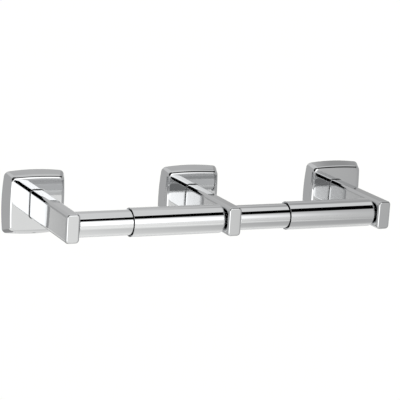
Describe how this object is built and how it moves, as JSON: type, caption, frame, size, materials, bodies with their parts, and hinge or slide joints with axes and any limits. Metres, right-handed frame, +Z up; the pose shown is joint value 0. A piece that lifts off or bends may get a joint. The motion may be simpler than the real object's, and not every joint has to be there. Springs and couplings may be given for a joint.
{
  "type": "toilet roll dispenser",
  "caption": "Wall-mounted double toilet roll holder: square bowed flanges with hollow arms carry sprung telescoping rollers, in bright polished steel.",
  "frame": {"origin": "on the wall face, behind the middle of the centre post's bracket", "axes": "+X along the wall to the right seen from the front, +Y into the wall, +Z up"},
  "size_m": [0.3108, 0.088, 0.0508],
  "materials": {
    "polished_stainless": "bright mirror polish",
    "rolled_stainless": "cold rolled, unpolished",
    "black_oxide_steel": "black oxide",
    "chrome_plate": "bright chrome plate on moulded plastic",
    "spring_wire": "drawn wire"
  },
  "bodies": {
    "posts": {"left_flange": "polished_stainless", "left_arm": "polished_stainless", "left_wall_bracket": "rolled_stainless", "left_set_screw": "black_oxide_steel", "left_weld_nut": "rolled_stainless", "centre_flange": "polished_stainless", "centre_arm": "polished_stainless", "centre_wall_bracket": "rolled_stainless", "centre_set_screw": "black_oxide_steel", "centre_weld_nut": "rolled_stainless", "right_flange": "polished_stainless", "right_arm": "polished_stainless", "right_wall_bracket": "rolled_stainless", "right_set_screw": "black_oxide_steel", "right_weld_nut": "rolled_stainless"},
    "left_roller_barrel": {"left_barrel": "chrome_plate", "left_spring": "spring_wire"},
    "left_roller_plunger": {"left_plunger": "chrome_plate"},
    "right_roller_barrel": {"right_barrel": "chrome_plate", "right_spring": "spring_wire"},
    "right_roller_plunger": {"right_plunger": "chrome_plate"}
  },
  "joints": [
    {"name": "left_roller_spin", "type": "hinge", "parent": "posts", "child": "left_roller_barrel", "pos_m": [-0.065, -0.075, 0], "axis": [1, 0, 0], "continuous": true},
    {"name": "left_roller_push", "type": "slide", "parent": "left_roller_barrel", "child": "left_roller_plunger", "axis": [1, 0, 0], "range_m": [0, 0.01], "stiffness_N_per_m": 600, "springref_m": -0.004, "deforming": ["left_spring"]},
    {"name": "right_roller_spin", "type": "hinge", "parent": "posts", "child": "right_roller_barrel", "pos_m": [0.065, -0.075, 0], "axis": [1, 0, 0], "continuous": true},
    {"name": "right_roller_push", "type": "slide", "parent": "right_roller_barrel", "child": "right_roller_plunger", "axis": [1, 0, 0], "range_m": [0, 0.01], "stiffness_N_per_m": 600, "springref_m": -0.004, "deforming": ["right_spring"]}
  ]
}
